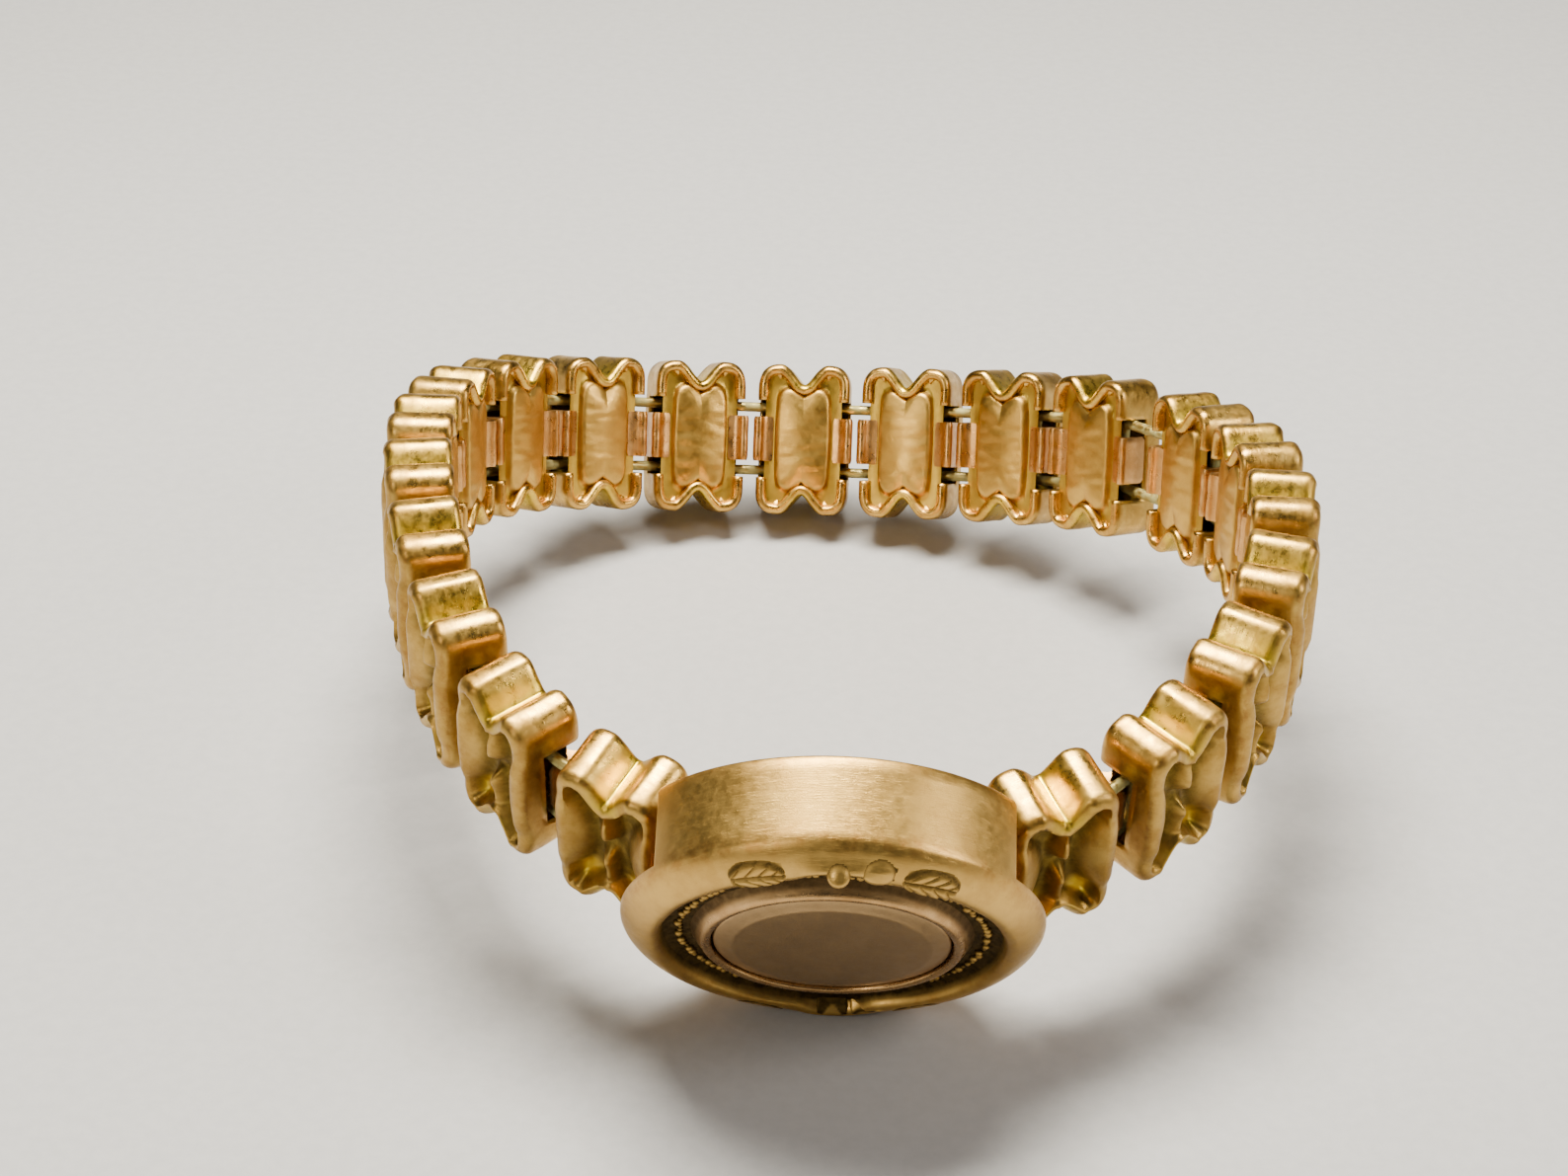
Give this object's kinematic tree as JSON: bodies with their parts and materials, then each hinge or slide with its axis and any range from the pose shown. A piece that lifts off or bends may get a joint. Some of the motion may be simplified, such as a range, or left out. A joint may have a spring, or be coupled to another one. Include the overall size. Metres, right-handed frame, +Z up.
{
  "type": "expansion band bracelet",
  "caption": "Closed ring of sprung double-humped metal links on wire hooks, with one round signet medallion; each link slides on its hook so the band stretches over a hand.",
  "frame": {"origin": "centre of the bounding box, on the surface that the bracelet stands on", "axes": "+Z up; the medallion is in front at -Y and faces -Y; +X to the right seen from the front"},
  "size_m": [0.0522, 0.0646, 0.0199],
  "materials": {
    "link_gold": "worn gold-filled shell, polished on the humps, satin on the sides, coppery at the edges",
    "hook_brass": "dull wire with a pale green bloom",
    "case_gold": "fine brushed satin, darkened in the recess",
    "bezel_gold": "polished, lightly worn",
    "disc_gold": "smooth satin face with a bevelled edge",
    "lug_brass": "plain, unpolished"
  },
  "bodies": {
    "medallion": {"medallion_case": "case_gold", "medallion_back_cover": "case_gold", "bezel_ring": "bezel_gold", "signet_disc": "disc_gold", "left_lug": "lug_brass", "right_lug": "lug_brass"},
    "link_01": {"link_housing_01": "link_gold"},
    "link_02": {"link_housing_02": "link_gold"},
    "link_03": {"link_housing_03": "link_gold"},
    "link_04": {"link_housing_04": "link_gold"},
    "link_05": {"link_housing_05": "link_gold"},
    "link_06": {"link_housing_06": "link_gold"},
    "link_07": {"link_housing_07": "link_gold"},
    "link_08": {"link_housing_08": "link_gold"},
    "link_09": {"link_housing_09": "link_gold"},
    "link_10": {"link_housing_10": "link_gold"},
    "link_11": {"link_housing_11": "link_gold"},
    "link_12": {"link_housing_12": "link_gold"},
    "link_13": {"link_housing_13": "link_gold"},
    "link_14": {"link_housing_14": "link_gold"},
    "link_15": {"link_housing_15": "link_gold"},
    "link_16": {"link_housing_16": "link_gold"},
    "link_17": {"link_housing_17": "link_gold"},
    "link_18": {"link_housing_18": "link_gold"},
    "link_19": {"link_housing_19": "link_gold"},
    "link_20": {"link_housing_20": "link_gold"},
    "link_21": {"link_housing_21": "link_gold"},
    "hook_01": {"link_hook_01": "hook_brass"},
    "hook_02": {"link_hook_02": "hook_brass"},
    "hook_03": {"link_hook_03": "hook_brass"},
    "hook_04": {"link_hook_04": "hook_brass"},
    "hook_05": {"link_hook_05": "hook_brass"},
    "hook_06": {"link_hook_06": "hook_brass"},
    "hook_07": {"link_hook_07": "hook_brass"},
    "hook_08": {"link_hook_08": "hook_brass"},
    "hook_09": {"link_hook_09": "hook_brass"},
    "hook_10": {"link_hook_10": "hook_brass"},
    "hook_11": {"link_hook_11": "hook_brass"},
    "hook_12": {"link_hook_12": "hook_brass"},
    "hook_13": {"link_hook_13": "hook_brass"},
    "hook_14": {"link_hook_14": "hook_brass"},
    "hook_15": {"link_hook_15": "hook_brass"},
    "hook_16": {"link_hook_16": "hook_brass"},
    "hook_17": {"link_hook_17": "hook_brass"},
    "hook_18": {"link_hook_18": "hook_brass"},
    "hook_19": {"link_hook_19": "hook_brass"},
    "hook_20": {"link_hook_20": "hook_brass"},
    "hook_21": {"link_hook_21": "hook_brass"},
    "hook_22": {"link_hook_22": "hook_brass"}
  },
  "joints": [
    {"name": "flex_01", "type": "hinge", "parent": "medallion", "child": "hook_01", "pos_m": [-0.00518, -0.02471, 0.01059], "axis": [0, -0.2865, 0.9581], "range_deg": [-0.78, 0.78]},
    {"name": "expand_01", "type": "slide", "parent": "hook_01", "child": "link_01", "axis": [-0.8918, 0.4335, 0.1296], "range_m": [0, 0.00194], "stiffness_N_per_m": 200},
    {"name": "flex_02", "type": "hinge", "parent": "link_01", "child": "hook_02", "pos_m": [-0.01186, -0.02153, 0.01167], "axis": [0, -0.2227, 0.9749], "range_deg": [-0.92, 0.92]},
    {"name": "expand_02", "type": "slide", "parent": "hook_02", "child": "link_02", "axis": [-0.6426, 0.747, 0.1706], "range_m": [0, 0.00191], "stiffness_N_per_m": 200},
    {"name": "flex_03", "type": "hinge", "parent": "link_02", "child": "hook_03", "pos_m": [-0.0169, -0.01676, 0.01296], "axis": [0, -0.1332, 0.9911], "range_deg": [-0.76, 0.76]},
    {"name": "expand_03", "type": "slide", "parent": "hook_03", "child": "link_03", "axis": [-0.4064, 0.9056, 0.1217], "range_m": [0, 0.00183], "stiffness_N_per_m": 200},
    {"name": "flex_04", "type": "hinge", "parent": "link_03", "child": "hook_04", "pos_m": [-0.02012, -0.01074, 0.01398], "axis": [0, -0.0317, 0.9995], "range_deg": [-2.08, 2.08]},
    {"name": "expand_04", "type": "slide", "parent": "hook_04", "child": "link_04", "axis": [-0.2568, 0.966, 0.0307], "range_m": [0, 0.00174], "stiffness_N_per_m": 200},
    {"name": "flex_05", "type": "hinge", "parent": "link_04", "child": "hook_05", "pos_m": [-0.02209, -0.0043, 0.01439], "axis": [0, 0.074, 0.9973], "range_deg": [-1.52, 1.52]},
    {"name": "expand_05", "type": "slide", "parent": "hook_05", "child": "link_05", "axis": [-0.1566, 0.985, -0.0731], "range_m": [0, 0.00165], "stiffness_N_per_m": 200},
    {"name": "flex_06", "type": "hinge", "parent": "link_05", "child": "hook_06", "pos_m": [-0.02328, 0.00225, 0.01409], "axis": [0, 0.1808, 0.9835], "range_deg": [-0.482, 0.482]},
    {"name": "expand_06", "type": "slide", "parent": "hook_06", "child": "link_06", "axis": [-0.0224, 0.9833, -0.1807], "range_m": [0, 0.00156], "stiffness_N_per_m": 200},
    {"name": "flex_07", "type": "hinge", "parent": "link_06", "child": "hook_07", "pos_m": [-0.02364, 0.00887, 0.01304], "axis": [0, 0.2849, 0.9586], "range_deg": [-2.24, 2.24]},
    {"name": "expand_07", "type": "slide", "parent": "hook_07", "child": "link_07", "axis": [0.2064, 0.9379, -0.2788], "range_m": [0, 0.00146], "stiffness_N_per_m": 200},
    {"name": "flex_08", "type": "hinge", "parent": "link_07", "child": "hook_08", "pos_m": [-0.0226, 0.01539, 0.01124], "axis": [0, 0.3787, 0.9255], "range_deg": [-2.5, 2.5]},
    {"name": "expand_08", "type": "slide", "parent": "hook_08", "child": "link_08", "axis": [0.5137, 0.7941, -0.3249], "range_m": [0, 0.00141], "stiffness_N_per_m": 200},
    {"name": "flex_09", "type": "hinge", "parent": "link_08", "child": "hook_09", "pos_m": [-0.01951, 0.02118, 0.00891], "axis": [0, 0.4506, 0.8927], "range_deg": [-1.09, 1.09]},
    {"name": "expand_09", "type": "slide", "parent": "hook_09", "child": "link_09", "axis": [0.7987, 0.5372, -0.2712], "range_m": [0, 0.00145], "stiffness_N_per_m": 200},
    {"name": "flex_10", "type": "hinge", "parent": "link_09", "child": "hook_10", "pos_m": [-0.01432, 0.0254, 0.00676], "axis": [0, 0.4922, 0.8705], "range_deg": [-1.1, 1.1]},
    {"name": "expand_10", "type": "slide", "parent": "hook_10", "child": "link_10", "axis": [0.9633, 0.2338, -0.1322], "range_m": [0, 0.00156], "stiffness_N_per_m": 200},
    {"name": "flex_11", "type": "hinge", "parent": "link_10", "child": "hook_11", "pos_m": [-0.00777, 0.02756, 0.0055], "axis": [0, 0.5026, 0.8645], "range_deg": [-2.5, 2.5]},
    {"name": "expand_11", "type": "slide", "parent": "hook_11", "child": "link_11", "axis": [0.9989, -0.0408, 0.0237], "range_m": [0, 0.00171], "stiffness_N_per_m": 200},
    {"name": "flex_12", "type": "hinge", "parent": "link_11", "child": "hook_12", "pos_m": [-0.00082, 0.02774, 0.00541], "axis": [0, 0.4859, 0.874], "range_deg": [-2.36, 2.36]},
    {"name": "expand_12", "type": "slide", "parent": "hook_12", "child": "link_12", "axis": [0.9517, -0.2683, 0.1492], "range_m": [0, 0.00183], "stiffness_N_per_m": 200},
    {"name": "flex_13", "type": "hinge", "parent": "link_12", "child": "hook_13", "pos_m": [0.00585, 0.02629, 0.00629], "axis": [0, 0.4459, 0.8951], "range_deg": [-0.491, 0.491]},
    {"name": "expand_13", "type": "slide", "parent": "hook_13", "child": "link_13", "axis": [0.8495, -0.4722, 0.2353], "range_m": [0, 0.00193], "stiffness_N_per_m": 200},
    {"name": "flex_14", "type": "hinge", "parent": "link_13", "child": "hook_14", "pos_m": [0.01187, 0.02342, 0.00788], "axis": [0, 0.3842, 0.9233], "range_deg": [-2.04, 2.04]},
    {"name": "expand_14", "type": "slide", "parent": "hook_14", "child": "link_14", "axis": [0.6879, -0.6701, 0.2788], "range_m": [0, 0.002], "stiffness_N_per_m": 200},
    {"name": "flex_15", "type": "hinge", "parent": "link_14", "child": "hook_15", "pos_m": [0.01689, 0.01918, 0.00995], "axis": [0, 0.2711, 0.9626], "range_deg": [-1.18, 1.18]},
    {"name": "expand_22", "type": "slide", "parent": "medallion", "child": "hook_22", "axis": [1, 0, 0], "range_m": [0, 0.0019], "stiffness_N_per_m": 200},
    {"name": "flex_22", "type": "hinge", "parent": "hook_22", "child": "link_21", "pos_m": [0.00887, -0.02309, 0.01107], "axis": [0, 0.3835, -0.9235], "range_deg": [-0.5, 0.5]},
    {"name": "expand_21", "type": "slide", "parent": "link_21", "child": "hook_21", "axis": [0.9001, 0.4172, 0.1252], "range_m": [0, 0.00184], "stiffness_N_per_m": 200},
    {"name": "flex_21", "type": "hinge", "parent": "hook_21", "child": "link_20", "pos_m": [0.01488, -0.01965, 0.01216], "axis": [0, 0.2874, -0.9578], "range_deg": [-0.94, 0.94]},
    {"name": "expand_20", "type": "slide", "parent": "link_20", "child": "hook_20", "axis": [0.6829, 0.7115, 0.1653], "range_m": [0, 0.00182], "stiffness_N_per_m": 200},
    {"name": "flex_20", "type": "hinge", "parent": "hook_20", "child": "link_19", "pos_m": [0.01925, -0.01446, 0.01337], "axis": [0, 0.2263, -0.974], "range_deg": [-1.14, 1.14]},
    {"name": "expand_19", "type": "slide", "parent": "link_19", "child": "hook_19", "axis": [0.4592, 0.8795, 0.1245], "range_m": [0, 0.00184], "stiffness_N_per_m": 200},
    {"name": "flex_19", "type": "hinge", "parent": "hook_19", "child": "link_18", "pos_m": [0.02206, -0.00829, 0.01419], "axis": [0, 0.1402, -0.9901], "range_deg": [-1.59, 1.59]},
    {"name": "expand_18", "type": "slide", "parent": "link_18", "child": "hook_18", "axis": [0.2559, 0.9659, 0.0388], "range_m": [0, 0.0019], "stiffness_N_per_m": 200},
    {"name": "flex_18", "type": "hinge", "parent": "hook_18", "child": "link_17", "pos_m": [0.02347, -0.00162, 0.01434], "axis": [0, 0.0401, -0.9992], "range_deg": [-0.84, 0.84]},
    {"name": "expand_17", "type": "slide", "parent": "link_17", "child": "hook_17", "axis": [0.0424, 0.9969, -0.0662], "range_m": [0, 0.00196], "stiffness_N_per_m": 200},
    {"name": "flex_17", "type": "hinge", "parent": "hook_17", "child": "link_16", "pos_m": [0.02336, 0.00522, 0.01372], "axis": [0, -0.0663, -0.9978], "range_deg": [-0.45, 0.45]},
    {"name": "expand_16", "type": "slide", "parent": "link_16", "child": "hook_16", "axis": [-0.204, 0.9643, -0.169], "range_m": [0, 0.002], "stiffness_N_per_m": 200},
    {"name": "flex_16", "type": "hinge", "parent": "hook_16", "child": "link_15", "pos_m": [0.02151, 0.01173, 0.01237], "axis": [0, -0.1726, -0.985], "range_deg": [-1.23, 1.23]}
  ],
  "couplings": [
    {"joint": "flex_01", "follows": "flex_11", "ratio": -0.2978},
    {"joint": "expand_01", "follows": "expand_16", "ratio": 0.9698},
    {"joint": "flex_02", "follows": "flex_11", "ratio": -0.3523},
    {"joint": "expand_02", "follows": "expand_16", "ratio": 0.95494},
    {"joint": "flex_03", "follows": "flex_11", "ratio": 0.28963},
    {"joint": "expand_03", "follows": "expand_16", "ratio": 0.91529},
    {"joint": "flex_04", "follows": "flex_11", "ratio": 0.80984},
    {"joint": "expand_04", "follows": "expand_16", "ratio": 0.86979},
    {"joint": "flex_05", "follows": "flex_11", "ratio": 0.58982},
    {"joint": "expand_05", "follows": "expand_16", "ratio": 0.82437},
    {"joint": "flex_06", "follows": "flex_11", "ratio": -0.1811},
    {"joint": "expand_06", "follows": "expand_16", "ratio": 0.7768},
    {"joint": "flex_07", "follows": "flex_11", "ratio": -0.87074},
    {"joint": "expand_07", "follows": "expand_16", "ratio": 0.73002},
    {"joint": "flex_08", "follows": "flex_11", "ratio": -0.97221},
    {"joint": "expand_08", "follows": "expand_16", "ratio": 0.70375},
    {"joint": "flex_09", "follows": "flex_11", "ratio": -0.42114},
    {"joint": "expand_09", "follows": "expand_16", "ratio": 0.72225},
    {"joint": "flex_10", "follows": "flex_11", "ratio": 0.42338},
    {"joint": "expand_10", "follows": "expand_16", "ratio": 0.78175},
    {"joint": "expand_11", "follows": "expand_16", "ratio": 0.85302},
    {"joint": "flex_12", "follows": "flex_11", "ratio": 0.91729},
    {"joint": "expand_12", "follows": "expand_16", "ratio": 0.91486},
    {"joint": "flex_13", "follows": "flex_11", "ratio": 0.18473},
    {"joint": "expand_13", "follows": "expand_16", "ratio": 0.96362},
    {"joint": "flex_14", "follows": "flex_11", "ratio": -0.7914},
    {"joint": "expand_14", "follows": "expand_16", "ratio": 0.99933},
    {"joint": "flex_15", "follows": "flex_11", "ratio": -0.45563},
    {"joint": "expand_22", "follows": "expand_16", "ratio": 0.95017},
    {"joint": "flex_22", "follows": "flex_11", "ratio": -0.18925},
    {"joint": "expand_21", "follows": "expand_16", "ratio": 0.92007},
    {"joint": "flex_21", "follows": "flex_11", "ratio": -0.35908},
    {"joint": "expand_20", "follows": "expand_16", "ratio": 0.90897},
    {"joint": "flex_20", "follows": "flex_11", "ratio": 0.43839},
    {"joint": "expand_19", "follows": "expand_16", "ratio": 0.92118},
    {"joint": "flex_19", "follows": "flex_11", "ratio": 0.61566},
    {"joint": "expand_18", "follows": "expand_16", "ratio": 0.94697},
    {"joint": "flex_18", "follows": "flex_11", "ratio": 0.32096},
    {"joint": "expand_17", "follows": "expand_16", "ratio": 0.97651},
    {"joint": "flex_17", "follows": "flex_11", "ratio": -0.16852},
    {"joint": "flex_16", "follows": "flex_11", "ratio": -0.47587}
  ]
}
